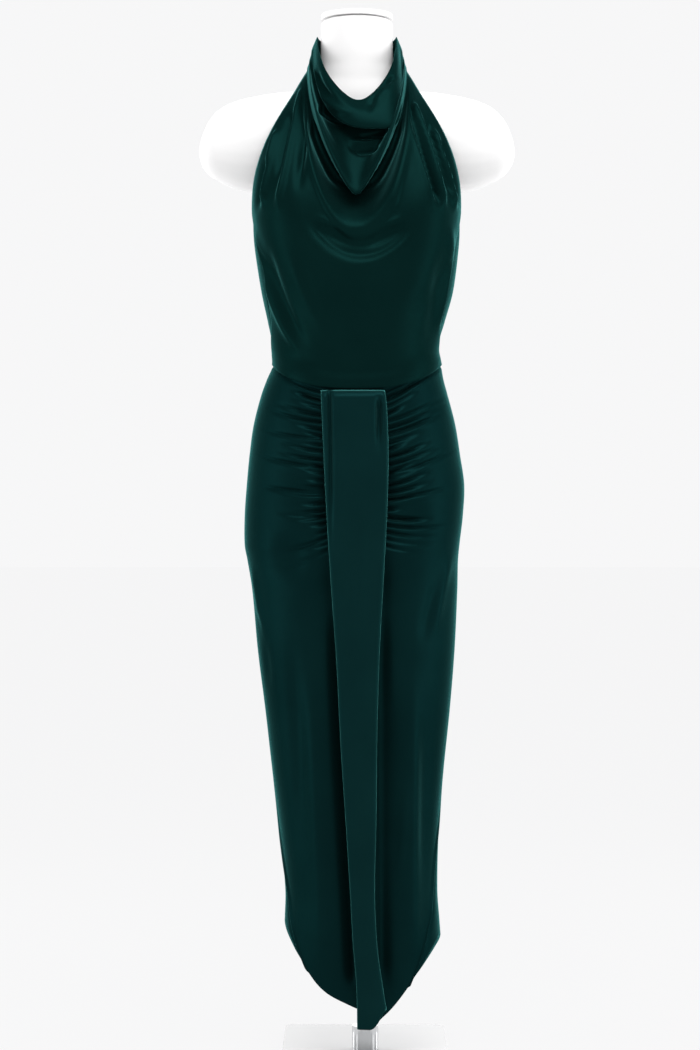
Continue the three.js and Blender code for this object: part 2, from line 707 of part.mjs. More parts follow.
function roundedPlate({ width, depth, height, corner, cornerSteps }) {
  const x = width / 2;
  const y = depth / 2;
  const shape = new THREE.Shape();
  shape.moveTo(-x + corner, -y);
  shape.lineTo(x - corner, -y);
  shape.absarc(x - corner, -y + corner, corner, -Math.PI / 2, 0);
  shape.lineTo(x, y - corner);
  shape.absarc(x - corner, y - corner, corner, 0, Math.PI / 2);
  shape.lineTo(-x + corner, y);
  shape.absarc(-x + corner, y - corner, corner, Math.PI / 2, Math.PI);
  shape.lineTo(-x, -y + corner);
  shape.absarc(-x + corner, -y + corner, corner, Math.PI, Math.PI * 1.5);
  const cut = { depth: height, bevelEnabled: false, curveSegments: cornerSteps };
  return new THREE.ExtrudeGeometry(shape, cut);
}

// An upright cylinder from one height to another
function upright(radius, bottom, top, sides) {
  const geometry = new THREE.CylinderGeometry(radius, radius, top - bottom, sides);
  geometry.rotateX(Math.PI / 2);
  geometry.translate(0, 0, (bottom + top) / 2);
  return geometry;
}

function named(name, geometry, material) {
  const mesh = new THREE.Mesh(geometry, material);
  mesh.name = name;
  return mesh;
}

const dress = new THREE.Group();
dress.position.x = formShiftX;
dress.add(named("bodice_front", clothWall(bodiceFrontPoint, grids.bodiceFront), dressGreen));
dress.add(named("bodice_back", clothWall(bodiceBackPoint, grids.bodiceBack), dressGreen));
dress.add(named("neck_band_left", neckBandWall(-1), dressGreen));
dress.add(named("neck_band_right", neckBandWall(1), dressGreen));
dress.add(named("skirt_front_left", skirtFront(-1), dressGreen));
dress.add(named("skirt_front_right", skirtFront(1), dressGreen));
dress.add(named("skirt_back", skirtBack(), dressGreen));
dress.add(named("front_drape", clothWall(drapePoint, grids.drape), dressGreen));
for (const [name, sign] of [["neck_button_upper", 1], ["neck_button_lower", -1]]) {
  const mesh = named(name, coveredButton(), buttonGreen);
  const bandMiddleZ = (neckBand.backTop + neckBand.backBottom) / 2;
  mesh.position.set(0, neckBand.back + bandLap.lift + seamGap, bandMiddleZ + (sign * button.spacing) / 2);
  dress.add(mesh);
}

const form = new THREE.Group();
form.position.x = formShiftX;
form.add(named("display_form", displayForm(), formWhite));
const cap = named("neck_cap", upright(1, 0, neckCap.height, roundSides.plate), formWhite);
cap.scale.set(neckCap.radiusX, neckCap.radiusY, 1);
cap.position.set(0, neckCap.y, neckCap.bottom);
form.add(cap);

const stand = new THREE.Group();
stand.add(named("base_plate", roundedPlate(basePlate), plateGrey));
const socketBottom = basePlate.height + seamGap;
const socketTop = socketBottom + baseSocket.height;
const socketShape = upright(baseSocket.radius, socketBottom, socketTop, roundSides.pole);
stand.add(named("base_socket", socketShape, poleSteel));
const poleShape = upright(pole.radius, socketTop + seamGap, pole.top - seamGap, roundSides.pole);
stand.add(named("pole", poleShape, poleSteel));
const plateShape = upright(formPlate.radius, pole.top, pole.top + formPlate.height, roundSides.plate);
stand.add(named("form_plate", plateShape, poleSteel));

const part = new THREE.Group();
part.add(dress, form, stand);
export default part;
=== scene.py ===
import math

import bpy
import numpy as np
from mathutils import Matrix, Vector


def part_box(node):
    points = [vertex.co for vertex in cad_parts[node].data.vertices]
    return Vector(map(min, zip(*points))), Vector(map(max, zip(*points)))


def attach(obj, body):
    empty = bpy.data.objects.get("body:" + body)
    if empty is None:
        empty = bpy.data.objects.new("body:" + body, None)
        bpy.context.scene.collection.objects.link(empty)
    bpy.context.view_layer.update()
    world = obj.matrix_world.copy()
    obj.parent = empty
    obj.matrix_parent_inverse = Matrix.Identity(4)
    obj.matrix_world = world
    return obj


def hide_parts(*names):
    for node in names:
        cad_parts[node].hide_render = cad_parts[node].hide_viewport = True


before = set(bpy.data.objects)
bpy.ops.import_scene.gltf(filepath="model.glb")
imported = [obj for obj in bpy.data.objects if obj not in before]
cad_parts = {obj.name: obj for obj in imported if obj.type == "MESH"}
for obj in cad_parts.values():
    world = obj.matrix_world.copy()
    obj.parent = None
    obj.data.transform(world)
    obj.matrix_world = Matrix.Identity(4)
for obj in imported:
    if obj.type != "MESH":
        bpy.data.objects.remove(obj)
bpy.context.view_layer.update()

bpy.ops.object.select_all(action="DESELECT")

# Sizes of the cloth are in millimetres, from the middle of the dress; the meshes are made in metres.
millimetre = 0.001
dressShiftX = -12  # the dress and its form stand a little left of the pole
frontRoundness = 2.3  # 2 is an ellipse, and more is squarer
backRoundness = 2.05
sideY = 8  # the sides of the figure lie this far behind the pole
foldsFrom = 0.3  # folds are full where the cloth faces forward or back by this share


def lerp(a, b, t):
    return a + (b - a) * t


def smoothStep(a, b, t):
    k = np.clip((t - a) / (b - a), 0, 1)
    return k * k * (3 - 2 * k)


# A smooth curve through one value at each key; past its ends it stays level
def curveThrough(keys, values):
    keys = np.array(keys, dtype=float)
    values = np.array(values, dtype=float)
    if keys[0] > keys[-1]:
        keys, values = keys[::-1], values[::-1]
    last = len(keys) - 1
    before = np.maximum(np.arange(last + 1) - 1, 0)
    after = np.minimum(np.arange(last + 1) + 1, last)
    slopes = (values[after] - values[before]) / (keys[after] - keys[before])

    def at(place):
        x = np.clip(place, keys[0], keys[-1])
        i = np.clip(np.searchsorted(keys, x) - 1, 0, last - 1)
        h = keys[i + 1] - keys[i]
        t = (x - keys[i]) / h
        return (
            (2 * t**3 - 3 * t**2 + 1) * values[i]
            + (t**3 - 2 * t**2 + t) * h * slopes[i]
            + (3 * t**2 - 2 * t**3) * values[i + 1]
            + (t**3 - t**2) * h * slopes[i + 1]
        )

    return at


# One curve for each column of a table, along its first column or along its row numbers
def curvesOf(columns, rows, byRow=False):
    keys = range(len(rows)) if byRow else [row[0] for row in rows]
    return {name: curveThrough(keys, [row[c] for row in rows]) for c, name in enumerate(columns)}


# The dress round the figure: how far the cloth stands from the middle at each height
figure = curvesOf(
    ("z", "left", "right", "front", "back"),
    [
        (1260, 153, 151, 121, 109),
        (1217, 153, 151, 123, 107),
        (1174, 149, 148, 123, 102),
        (1108, 139, 140, 121, 90),
        (1060, 129, 127, 117, 80),
        (1022, 122, 117, 113, 76),
        (1000, 122, 122, 110, 77),
        (978, 131, 126, 108, 84),
        (956, 139, 132, 107, 92),
        (913, 150, 143, 108, 108),
        (869, 156, 150, 111, 119),
        (826, 160, 156, 112, 123),
        (782, 163, 154, 112, 120),
        (739, 163, 149, 110, 113),
        (717, 159, 147, 108, 108),
        (674, 152, 146, 104, 101),
        (587, 144, 142, 98, 94),
        (500, 133, 135, 94, 90),
        (413, 123, 126, 92, 87),
        (326, 112, 119, 90, 85),
        (239, 104, 117, 89, 84),
        (195, 105, 120, 89, 86),
        (150, 106, 123, 89, 88),
        (40, 106, 124, 90, 88),
    ],
)
sideSeam = curvesOf(
    ("z", "angle"),
    [(1217, 77), (1174, 71), (1130, 67), (1070, 71), (1030, 80), (950, 86)],
)["angle"]


# A point of the dress's plain form, by its angle from the front and its height
def figurePoint(angle, z):
    s = np.sin(np.radians(angle))
    c = np.cos(np.radians(angle))
    power = 2 / np.where(c > 0, frontRoundness, backRoundness)
    x = np.sign(s) * np.abs(s) ** power * np.where(s < 0, figure["left"](z), figure["right"](z))
    front = sideY - np.abs(c) ** power * (figure["front"](z) + sideY)
    back = sideY + np.abs(c) ** power * (figure["back"](z) - sideY)
    return x, np.where(c > 0, front, back), z + 0 * x


# The angle at which the front of that form is x from the middle
def angleAt(x, z):
    width = np.where(x < 0, figure["left"](z), figure["right"](z))
    share = np.clip(np.abs(x) / width, 0, 0.999) ** (frontRoundness / 2)
    return np.sign(x) * np.degrees(np.arcsin(share))


# The waist seam dips in front, and rises a little behind
waistSeam = {"sideZ": 1001, "frontDip": 42, "backDip": -5, "shape": 1.6}


def waistSeamZ(angle):
    c = np.cos(np.radians(angle))
    dip = np.where(c > 0, waistSeam["frontDip"] * np.abs(c) ** waistSeam["shape"], -waistSeam["backDip"] * c)
    return waistSeam["sideZ"] - dip


# A crease runs from (x0, z0) to (x1, z1) in the front view, bowed at its middle; a positive height is
# a ridge and a negative one a trough. sharp 1 is a soft wave, and 2 a tight line.
def creaseLift(rows, x, z):
    lift = np.zeros_like(x)
    for x0, z0, x1, z1, width, height, bow, sharp, startFade, endFade in rows:
        length = math.hypot(x1 - x0, z1 - z0)
        ux, uz = (x1 - x0) / length, (z1 - z0) / length
        run = ((x - x0) * ux + (z - z0) * uz) / length
        along = np.clip(run, 0, 1)
        past = np.abs(run - along) * length
        across = (z - z0) * ux - (x - x0) * uz - bow * 4 * along * (1 - along)
        reach = np.hypot(across, past) / width
        profile = np.exp(-(reach**2)) if sharp == 1 else (1 + reach**2) ** (-1.5)
        fade = smoothStep(-0.01, startFade, along) * smoothStep(1.01, 1 - endFade, along)
        lift += height * fade * profile
    return lift


# One sheet of jersey: a grid of points over a surface, with its own thickness
def makeSheet(name, surface, columns, rows, cut):
    u, v = np.meshgrid(np.linspace(0, 1, columns + 1), np.linspace(0, 1, rows + 1))
    x, y, z = surface(u, v)
    points = np.stack([x + dressShiftX, y, z], axis=-1).reshape(-1, 3) * millimetre
    first = (np.arange(rows)[:, None] * (columns + 1) + np.arange(columns)[None, :]).reshape(-1)
    quads = np.stack([first, first + columns + 1, first + columns + 2, first + 1], axis=-1)
    mesh = bpy.data.meshes.new(name)
    mesh.from_pydata(points.tolist(), [], quads.tolist())
    uvLayer = mesh.uv_layers.new(name="cloth")
    corners = np.zeros(len(mesh.loops), dtype=np.int32)
    mesh.loops.foreach_get("vertex_index", corners)
    flatWidth, flatLength = cut["flat"]
    uvs = np.stack([u.reshape(-1)[corners] * flatWidth, v.reshape(-1)[corners] * flatLength], axis=-1)
    uvLayer.data.foreach_set("uv", uvs.astype(np.float32).reshape(-1))
    piece = bpy.data.objects.new(name, mesh)
    bpy.context.collection.objects.link(piece)
    bpy.context.view_layer.objects.active = piece
    piece.select_set(True)
    bpy.ops.object.shade_smooth()
    solidify = piece.modifiers.new("cloth thickness", "SOLIDIFY")
    solidify.thickness = cut["thickness"] * millimetre
    solidify.offset = -1
    bpy.ops.object.modifier_apply(modifier="cloth thickness")
    bpy.ops.object.select_all(action="DESELECT")
    return piece


def dressPiece(piece, material, slot, *nodes):
    piece.data.materials.append(material)
    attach(piece, "root")
    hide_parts(*nodes)


# Materials

def newMaterial(name):
    material = bpy.data.materials.new(name)
    material.use_nodes = True
    nodes = material.node_tree.nodes
    return material, nodes, material.node_tree.links, nodes["Principled BSDF"]


# Noise that is fixed to the object, in its own metres
def noiseOnObject(nodes, links, scale, detail=2):
    place = nodes.new("ShaderNodeTexCoord")
    noise = nodes.new("ShaderNodeTexNoise")
    noise.inputs["Scale"].default_value = scale
    noise.inputs["Detail"].default_value = detail
    links.new(place.outputs["Object"], noise.inputs["Vector"])
    return noise.outputs["Fac"]


def bumpFrom(nodes, links, height, strength, depth):
    bump = nodes.new("ShaderNodeBump")
    bump.inputs["Strength"].default_value = strength
    bump.inputs["Distance"].default_value = depth
    links.new(height, bump.inputs["Height"])
    return bump


jersey = {
    "colour": (0.0024, 0.0160, 0.0150, 1),
    "deepColour": (0.0020, 0.0135, 0.0128, 1),
    "toneScale": 9,
    "toneRange": (0.35, 0.65),
    "roughness": 0.4,
    "metallic": 0.5,
    "edgeTint": (0.06, 0.26, 0.25, 1),
    "sheenTint": (0.23, 1.0, 0.96, 1),
    "sheenRoughness": 0.3,
    "rib": {"scale": 260, "waver": 0.6, "strength": 0.12, "depth": 0.0002},
    "softCreases": {"scale": 26, "strength": 0.25, "depth": 0.0015},
}


def jerseyMaterial(name, paintedBrightness, blueness, sheen):
    material, nodes, links, shader = newMaterial(name)
    # Painted light: the first number lifts the whole base colour of this copy of the jersey, and blueness
    # tints it bluer
    paintedLightAndBlue = (paintedBrightness, paintedBrightness, paintedBrightness * blueness, 1)
    ramp = nodes.new("ShaderNodeValToRGB")
    for stop, key, position in zip(ramp.color_ramp.elements, ("deepColour", "colour"), jersey["toneRange"]):
        stop.position = position
        stop.color = tuple(part * tone for part, tone in zip(jersey[key], paintedLightAndBlue))
    links.new(noiseOnObject(nodes, links, jersey["toneScale"], detail=3), ramp.inputs["Fac"])
    links.new(ramp.outputs["Color"], shader.inputs["Base Color"])
    shader.inputs["Roughness"].default_value = jersey["roughness"]
    shader.inputs["Metallic"].default_value = jersey["metallic"]
    shader.inputs["Specular IOR Level"].default_value = 0
    shader.inputs["Specular Tint"].default_value = jersey["edgeTint"]
    shader.inputs["Sheen Weight"].default_value = sheen
    shader.inputs["Sheen Roughness"].default_value = jersey["sheenRoughness"]
    shader.inputs["Sheen Tint"].default_value = jersey["sheenTint"]
    # The knit's ribs run down each piece's own cut
    cutPlace = nodes.new("ShaderNodeTexCoord")
    rib = nodes.new("ShaderNodeTexWave")
    rib.bands_direction = "X"
    rib.inputs["Scale"].default_value = jersey["rib"]["scale"]
    rib.inputs["Distortion"].default_value = jersey["rib"]["waver"]
    links.new(cutPlace.outputs["UV"], rib.inputs["Vector"])
    ribBump = bumpFrom(nodes, links, rib.outputs["Fac"], jersey["rib"]["strength"], jersey["rib"]["depth"])
    soft = jersey["softCreases"]
    creases = noiseOnObject(nodes, links, soft["scale"])
    creaseBump = bumpFrom(nodes, links, creases, soft["strength"], soft["depth"])
    links.new(ribBump.outputs["Normal"], creaseBump.inputs["Normal"])
    links.new(creaseBump.outputs["Normal"], shader.inputs["Normal"])
    return material


formSkin = {"colour": (0.86, 0.855, 0.855, 1), "roughness": 0.5, "grainScale": 320, "grainDepth": 0.0003}


def formMaterial():
    material, nodes, links, shader = newMaterial("white moulded form")
    shader.inputs["Base Color"].default_value = formSkin["colour"]
    shader.inputs["Roughness"].default_value = formSkin["roughness"]
    shader.inputs["Specular IOR Level"].default_value = 0.3
    grain = noiseOnObject(nodes, links, formSkin["grainScale"])
    bump = bumpFrom(nodes, links, grain, 0.08, formSkin["grainDepth"])
    links.new(bump.outputs["Normal"], shader.inputs["Normal"])
    return material


steel = {"colour": (0.62, 0.63, 0.64, 1), "smudgeScale": 40, "smoothest": 0.07, "roughest": 0.16}


def polishedSteelMaterial():
    material, nodes, links, shader = newMaterial("polished steel")
    shader.inputs["Metallic"].default_value = 1
    shader.inputs["Base Color"].default_value = steel["colour"]
    smudges = nodes.new("ShaderNodeMapRange")
    smudges.inputs["To Min"].default_value = steel["smoothest"]
    smudges.inputs["To Max"].default_value = steel["roughest"]
    links.new(noiseOnObject(nodes, links, steel["smudgeScale"]), smudges.inputs["Value"])
    links.new(smudges.outputs["Result"], shader.inputs["Roughness"])
    return material


baseLacquer = {"colour": (0.53, 0.53, 0.535, 1), "roughness": 0.25, "peelScale": 220, "peelDepth": 0.0002}


def baseMaterial():
    material, nodes, links, shader = newMaterial("pale grey base lacquer")
    shader.inputs["Base Color"].default_value = baseLacquer["colour"]
    shader.inputs["Roughness"].default_value = baseLacquer["roughness"]
    shader.inputs["Specular IOR Level"].default_value = 0.2
    orangePeel = noiseOnObject(nodes, links, baseLacquer["peelScale"])
    bump = bumpFrom(nodes, links, orangePeel, 0.05, baseLacquer["peelDepth"])
    links.new(bump.outputs["Normal"], shader.inputs["Normal"])
    return material


bodiceCloth = jerseyMaterial("bottle green jersey", 1, 1, 0.3)
# Painted light: the skirt and the drape take lighter copies of the jersey, the drape's much lighter, and
# both are a little bluer
skirtClothPaintedLighter = jerseyMaterial("bottle green jersey of the skirt, painted lighter", 1.08, 1.1, 0.3)
drapeClothPaintedLighter = jerseyMaterial("bottle green jersey of the drape, painted lighter", 1.4, 1.1, 0.9)
formWhite = formMaterial()
poleSteel = polishedSteelMaterial()
baseGrey = baseMaterial()
print("materials made")

# The cowl and bodice front, from the neckline (row 0) down to the waist seam
bodice = {
    "flat": (0.46, 0.58),  # metres, as are all the flat sizes
    "area": 0.20,
    "thickness": 1.2,
    "fittingFrom": 10,  # rows of the table below
    "underarmRow": 14,
    "ringRow": 15.5,
    "lastRow": 18,
    "seamGap": 0.4,
}
cowl = curvesOf(
    ("zMid", "yMid", "zSide", "ySide", "half", "droop", "wrap", "lean"),
    [
        (1370, -86, 1479, 12, 58, 1.38, 2.2, 2),  # neckline edge
        (1349, -103, 1472, 12, 61, 1.8, 2.5, 12),  # collar swag
        (1326, -106, 1465, 12, 64, 2.7, 2.8, 26),  # its lip
        (1340, -80, 1459, 11, 66, 2.3, 2.6, 26),  # tucked in behind it
        (1312, -85, 1452, 10, 67, 1.9, 3.2, 10),
        (1268, -105, 1445, 9, 69, 1.15, 3.4, 0),  # pointed swag
        (1232, -118, 1439, 8, 70, 1.10, 3.6, -1),  # its lip
        (1246, -80, 1433, 6, 72, 1.35, 3.6, -1),  # tucked in behind it
        (1221, -100, 1427, 4, 73, 1.6, 3.8, 0),
        (1187, -128, 1420, 1, 77, 1.7, 4.2, -3),  # round swag
        (1160, -123, 1398, -16, 88, 1.55, 4.6, 3),  # armhole edges from here on
        (1132, -126, 1342, -52, 115, 1.6, 4.0, 0),
        (1104, -125, 1297, -62, 133, 1.65, 3.6, 0),
        (1077, -122, 1255, -46, 147, 1.7, 3.2, 0),
        (1052, -119, 1215, -24, 150, 1.75, 2.8, 0),  # underarm
        (1028, -116, 1166, -40, 142, 1.8, 2.4, 0),  # side seams from here on
        (1004, -113, 1108, -42, 131, 1.8, 2.2, 0),
        (981, -110, 1046, -28, 120, 1.8, 2.1, 0),
        (959, -107, 1001, -4, 121, 1.8, 2.0, 0),  # waist seam
    ],
    byRow=True,
)
# How round the swags are at their lowest point, and the rows of the hollow, where they are rounder
cowlRounding = {"lip": 0.06, "hollow": 0.1, "from": (3.0, 3.8), "to": (5.9, 5.0)}
bust = {"x": 78, "z": 1212, "radius": 58, "height": 8, "rows": (8, 11)}
# The bodice stands over the waist seam with a soft lip, and draws in again at its edge
seamLip = {
    "height": 3.2,
    "rows": (16.8, 17.6),
    "edge": 0.6,
    "edgeRows": (17.75, 18.0),
    "levelRows": (17.6, 16.5),  # below these rows the creases move straight out, not up or down
}
# x0, z0, x1, z1, width, height, bow, sharp, startFade, endFade
bodiceCreases = [
    (-73, 1392, -81, 1228, 5.5, -9.0, 0, 1, 0.02, 0.35),
    (-78, 1398, -110, 1206, 3.8, 6.5, -2, 1, 0.05, 0.15),
    (-92, 1360, -113, 1235, 5.5, -7.0, -3, 1, 0.15, 0.4),
    (-112, 1336, -130, 1214, 4.2, 8.0, -4, 1, 0.15, 0.2),
    (-124, 1290, -141, 1206, 5, -5.0, -2, 1, 0.2, 0.4),
    (66, 1394, 113, 1216, 3.8, -9.5, 0, 1, 0.03, 0.12),
    (71, 1384, 107, 1212, 4.0, 4.0, -1, 1, 0.1, 0.2),
    (78, 1372, 120, 1210, 3.8, 7.5, 6, 1, 0.05, 0.15),
    (98, 1342, 132, 1228, 4.0, -8.0, 3, 1, 0.15, 0.2),
    (104, 1338, 137, 1210, 4.0, 8.0, 5, 1, 0.15, 0.2),
    (116, 1318, 143, 1220, 4.0, -6.0, 4, 1, 0.2, 0.3),
    (62, 1340, 46, 1206, 8, 4.5, 2, 1, 0.15, 0.15),
    (-146, 1196, -76, 1000, 5.5, 5.5, -12, 1, 0.2, 0.3),
    (-128, 1168, -66, 1012, 6.5, -5.0, -9, 1, 0.25, 0.4),
    (-102, 1164, -20, 1006, 10, 2.6, -6, 1, 0.35, 0.5),
    (-82, 1150, -34, 1030, 8, -2.2, -6, 1, 0.35, 0.5),
    (131, 1196, 112, 1030, 6, 5.0, 6, 1, 0.2, 0.35),
    (116, 1160, 94, 1010, 9, -2.6, 6, 1, 0.3, 0.4),
]
# Soft swags that hang across below the cowl
swagCreases = [
    (-78, 1203, 78, 1199, 5.5, 3.6, -14, 1, 0.2, 0.2),
    (-76, 1200, 82, 1194, 12, -7.0, -30, 1, 0.15, 0.15),
    (-70, 1196, 80, 1188, 6, -2.5, -46, 1, 0.2, 0.2),
    (-88, 1190, 90, 1182, 12, 4.0, -56, 1, 0.3, 0.3),
]
# Small creases in the hollow of the pointed swag
cowlPinches = [
    (0, 1318, 44, 1327, 3.0, -8.0, -4, 1, 0.3, 0.1),
    (-14, 1304, 32, 1305, 3.6, -9.0, -9, 1, 0.4, 0.25),
    (-12, 1313, 38, 1318, 4.0, 3.5, -6, 1, 0.3, 0.2),
    (-54, 1368, -8, 1336, 7.0, -9.0, -5, 1, 0.2, 0.35),
]
# The dark hollows on both sides of the pointed swag
hollowCreases = [
    (-64, 1350, -16, 1236, 9, -8.0, -6, 1, 0.2, 0.3),
    (58, 1350, 12, 1236, 9, -8.0, 6, 1, 0.2, 0.3),
]
# Creases of the collar swag
collarCreases = [
    (-60, 1424, -28, 1366, 4.0, -5.0, -6, 1, 0.2, 0.4),
    (-64, 1404, -6, 1346, 4.0, 3.5, -10, 1, 0.15, 0.3),
    (58, 1408, 16, 1343, 4.5, -5.0, -12, 1, 0.15, 0.35),
    (44, 1392, 24, 1364, 7.0, 2.5, -4, 1, 0.3, 0.4),
]


# The rows between which each set of creases comes in, and those where it goes out again
creaseRows = {
    "collar": ((0.1, 0.5), (2.0, 1.7)),
    "pinches": ((3.2, 3.8), (6.0, 5.2)),
    "hollows": ((6.6, 7.4), (8.9, 8.3)),
    "bodice": ((8.8, 9.7),),
    "swags": ((9.4, 10.4),),
}
creasesEnd = 0.94  # from here out to the armhole edge, at 1, the bodice's creases fade


def onRows(key, row):
    share = np.ones_like(row)
    for start, end in creaseRows[key]:
        share = share * smoothStep(start, end, row)
    return share


def bodiceForm(u, v):
    s = u * 2 - 1
    size = np.abs(s)
    row = v * bodice["lastRow"]
    ring = np.minimum(row, bodice["ringRow"])
    toSeam = np.clip((row - bodice["ringRow"]) / (bodice["lastRow"] - bodice["ringRow"]), 0, 1)
    inHollow = smoothStep(*cowlRounding["from"], row) * smoothStep(*cowlRounding["to"], row)
    rounding = lerp(cowlRounding["lip"], cowlRounding["hollow"], inHollow)
    hang = (np.hypot(s, rounding) - rounding) / (np.hypot(1, rounding) - rounding)
    z = lerp(cowl["zMid"](row), cowl["zSide"](row), hang ** cowl["droop"](row))
    ringZ = lerp(cowl["zMid"](ring), cowl["zSide"](ring), hang ** cowl["droop"](ring))
    x = np.sign(s) * np.sin(size * math.pi / 2) * cowl["half"](row) + cowl["lean"](row) * (1 - s * s) ** 2
    y = lerp(cowl["yMid"](row), cowl["ySide"](row), size ** cowl["wrap"](row))
    angle = s * sideSeam(lerp(cowl["zSide"](ring), waistSeam["sideZ"], toSeam))
    fitted = figurePoint(angle, lerp(ringZ, waistSeamZ(angle) + bodice["seamGap"], toSeam))
    fitting = smoothStep(bodice["fittingFrom"], bodice["ringRow"], row)
    return lerp(x, fitted[0], fitting), lerp(y, fitted[1], fitting), lerp(z, fitted[2], fitting)


# The way out of a grid of points, as one unit vector for each
def outwardOf(x, y, z):
    across = [np.gradient(part, axis=1) for part in (x, y, z)]
    down = [np.gradient(part, axis=0) for part in (x, y, z)]
    out = -np.cross(np.stack(across, axis=-1), np.stack(down, axis=-1))
    out /= np.maximum(np.linalg.norm(out, axis=-1, keepdims=True), 1e-9)
    return out[..., 0], out[..., 1], out[..., 2]


def bodiceFrontSurface(u, v):
    x, y, z = bodiceForm(u, v)
    row = v * bodice["lastRow"]
    nearEdge = smoothStep(1, creasesEnd, np.abs(u * 2 - 1))
    lift = creaseLift(bodiceCreases, x, z) * onRows("bodice", row) * nearEdge
    lift += creaseLift(swagCreases, x, z) * onRows("swags", row)
    lift += creaseLift(cowlPinches, x, z) * onRows("pinches", row)
    lift += creaseLift(collarCreases, x, z) * onRows("collar", row)
    lift += creaseLift(hollowCreases, x, z) * onRows("hollows", row)
    for side in (-1, 1):
        away = np.hypot(x - side * bust["x"], z - bust["z"]) / bust["radius"]
        lift += bust["height"] * np.exp(-(away**2)) * smoothStep(*bust["rows"], row)
    drawnIn = lerp(1, seamLip["edge"], smoothStep(*seamLip["edgeRows"], row))
    lift += seamLip["height"] * smoothStep(*seamLip["rows"], row) * drawnIn
    outX, outY, outZ = outwardOf(x, y, z)
    outZ = outZ * smoothStep(*seamLip["levelRows"], row)
    return x + outX * lift, y + outY * lift, z + outZ * lift


bodiceFront = makeSheet("bodiceFront", bodiceFrontSurface, 150, 270, bodice)
dressPiece(bodiceFront, bodiceCloth, "jersey", "bodice_front")
print("bodice front draped")

# The low back of the bodice, scooped down to the middle
backPanel = {
    "flat": (0.40, 0.22),
    "area": 0.052,
    "thickness": 1.2,
    "underarmZ": 1213,
    "middleZ": 1078,
    "scoop": 2.4,
}
# Soft drag lines in the small of the back
backCreases = [
    (-96, 1034, -10, 1022, 7, 1.8, -6, 1, 0.3, 0.5),
    (92, 1046, 14, 1030, 8, 2.0, -6, 1, 0.3, 0.5),
    (-70, 1060, 40, 1056, 9, -1.6, -6, 1, 0.4, 0.4),
]


def bodiceBackSurface(u, v):
    swing = u * 2 - 1
    row = lerp(bodice["underarmRow"], bodice["lastRow"], v)
    sideZ = bodiceForm(np.ones_like(u), row / bodice["lastRow"])[2]
    lowSideZ = bodiceForm(np.ones((1, 1)), np.ones((1, 1)))[2][0, 0]
    share = np.clip((backPanel["underarmZ"] - sideZ) / (backPanel["underarmZ"] - lowSideZ), 0, 1)
    low = waistSeamZ(180 + swing * (180 - sideSeam(lowSideZ))) + bodice["seamGap"]
    top = lerp(backPanel["middleZ"], backPanel["underarmZ"], np.abs(swing) ** backPanel["scoop"])
    z = lerp(top, low, share)
    angle = 180 + swing * (180 - sideSeam(z))
    x, y, z = figurePoint(angle, z)
    frontEdge = bodiceForm(np.where(swing < 0, 1.0, 0.0), row / bodice["lastRow"])
    backEdge = figurePoint(np.where(swing < 0, 1, -1) * sideSeam(sideZ), sideZ)
    nearSeam = smoothStep(0.5, 1, np.abs(swing))
    x, y = (part + (front - back) * nearSeam for part, front, back in zip((x, y), frontEdge, backEdge))
    return x, y + creaseLift(backCreases, x, z), z


bodiceBack = makeSheet("bodiceBack", bodiceBackSurface, 120, 60, backPanel)
dressPiece(bodiceBack, bodiceCloth, "jersey", "bodice_back")
print("bodice back made")

# The neck band, from each end of the cowl to the back; the right half lies over the left one
band = {
    "flat": (0.145, 0.04),
    "thickness": 1.2,
    "lastRow": 9,  # the cowl's rows down to this one run into the band
    "seamGap": 0.4,
    "back": 67,
    "backTop": 1467,
    "backBottom": 1435,
    "lift": 2.15,
    "liftDegrees": (20, 60),
    "lapDegrees": 13,
}


def neckBandSurface(side):
    def surface(u, v):
        along = u if side > 0 else 1 - u
        row = band["lastRow"] * v
        turn = along * (90 + band["lapDegrees"])
        lift = band["lift"] * smoothStep(*band["liftDegrees"], turn) if side > 0 else 0
        x = side * np.cos(np.radians(turn)) * (cowl["half"](row) + lift)
        startY = cowl["ySide"](row) + band["seamGap"]
        y = startY + np.sin(np.radians(turn)) * (band["back"] + lift - startY)
        backZ = lerp(band["backTop"], band["backBottom"], v)
        return x, y, lerp(cowl["zSide"](row), backZ, smoothStep(0, 1, turn / 90))

    return surface


for side, name, node in ((-1, "neckBandLeft", "neck_band_left"), (1, "neckBandRight", "neck_band_right")):
    neckBand = makeSheet(name, neckBandSurface(side), 60, 24, band)
    dressPiece(neckBand, bodiceCloth, "jersey", node)
print("neck band made")

# The skirt: hem heights by the angle round the figure, ruching and long folds
hemZ = curveThrough(
    [-180, -130, -90, -75, -60, -45, -30, -20, 0, 10, 15, 22, 33, 43, 54, 68, 90, 130, 180],
    [192, 194, 196, 186, 170, 146, 118, 104, 84, 66, 73, 87, 112, 133, 151, 166, 176, 186, 192],
)
skirt = {
    "flat": (0.26, 1.02),
    "area": 0.20,
    "thickness": 1.2,
    "seamAllowance": 3,
    "seamInset": 2.6,
    "middleSeam": (-2, 11),  # degrees, at the waist and at the hem
    "ruchedShare": 0.29,  # this much of the length has half of the mesh's rows
    "drawnIn": (0.012, 0.002),  # the top is drawn in under the bodice's lip, by shares of the length
    # The curved front edge stands a little proud of the back: shares of the length and of the width
    "edgeProud": 2.2,
    "proudFrom": (0.72, 0.86),
    "proudWidth": (0.90, 0.975),
    "edgeTurn": (0.985, 1),
    "edgeSeated": 0.2,
}
skirtBackCut = {
    "flat": (0.47, 0.83),
    "area": 0.32,
    "thickness": 1.2,
    "lapFrom": (0.70, 0.82),
    "lapDegrees": 4,
    "lapInset": 1.6,
    "lapWidth": (0.06, 0.01),
}
